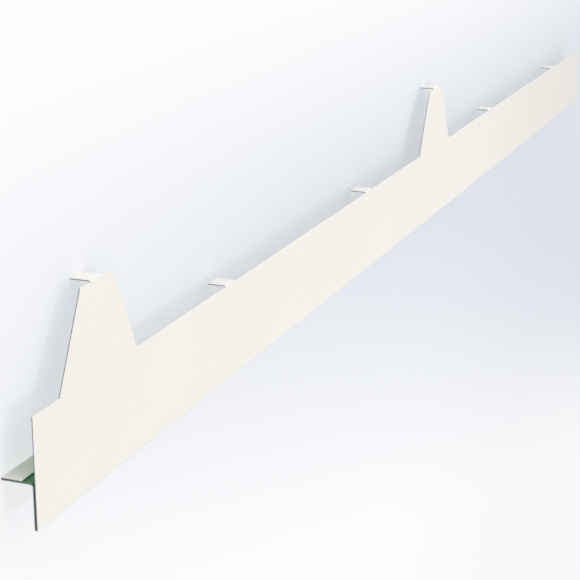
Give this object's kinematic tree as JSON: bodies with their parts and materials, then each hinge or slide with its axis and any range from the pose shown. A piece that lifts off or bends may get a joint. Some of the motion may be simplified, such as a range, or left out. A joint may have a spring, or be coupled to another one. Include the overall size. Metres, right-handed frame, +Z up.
{
  "type": "roof edge flashing",
  "caption": "Long folded sheet-metal edge flashing with a tall front panel, a hemmed supporting flange behind it and tapered tabs along its top edge that end in small bent seats.",
  "frame": {"origin": "on the floor, under the middle of the flashing's bounding box", "axes": "+X along the sheet from the end near the first tall tab, +Y from the bottom fold towards the tabs, +Z up from the floor through the front panel; the flashing lies on its back"},
  "size_m": [2.085, 0.184, 0.036],
  "materials": {
    "coated_sheet": "coil-coated steel, low-gloss ivory on the outer face and green on the reverse"
  },
  "bodies": {
    "root": {"edge_flashing": "coated_sheet"}
  },
  "joints": []
}
